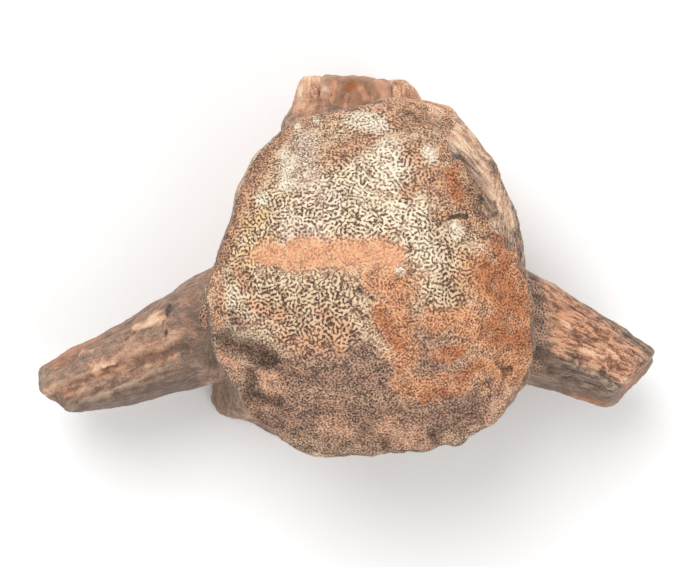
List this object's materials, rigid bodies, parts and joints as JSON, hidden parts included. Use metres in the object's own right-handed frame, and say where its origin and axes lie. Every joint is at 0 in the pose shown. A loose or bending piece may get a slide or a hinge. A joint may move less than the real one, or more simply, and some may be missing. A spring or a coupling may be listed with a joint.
{
  "type": "fossil mosasaur tail vertebra",
  "caption": "Fossil mosasaur tail vertebra: a spool-shaped body with a domed rear face and a hollow front face, broken side processes and a broken arch with rock in its canal.",
  "frame": {"origin": "under the middle of the bone's bounding box, on the surface that it lies on", "axes": "+Z from the hollow front face to the domed rear face, towards the animal's tail; +Y towards the animal's back; +X towards its right"},
  "size_m": [0.1616, 0.097, 0.0765],
  "materials": {
    "fossil_bone": "dry granular phosphatic bone, cream and brown with rust-orange stains",
    "canal_rock": "matt fine sediment, grey-brown to pink"
  },
  "bodies": {
    "root": {"vertebra": "fossil_bone", "canal_matrix": "canal_rock"}
  },
  "joints": []
}
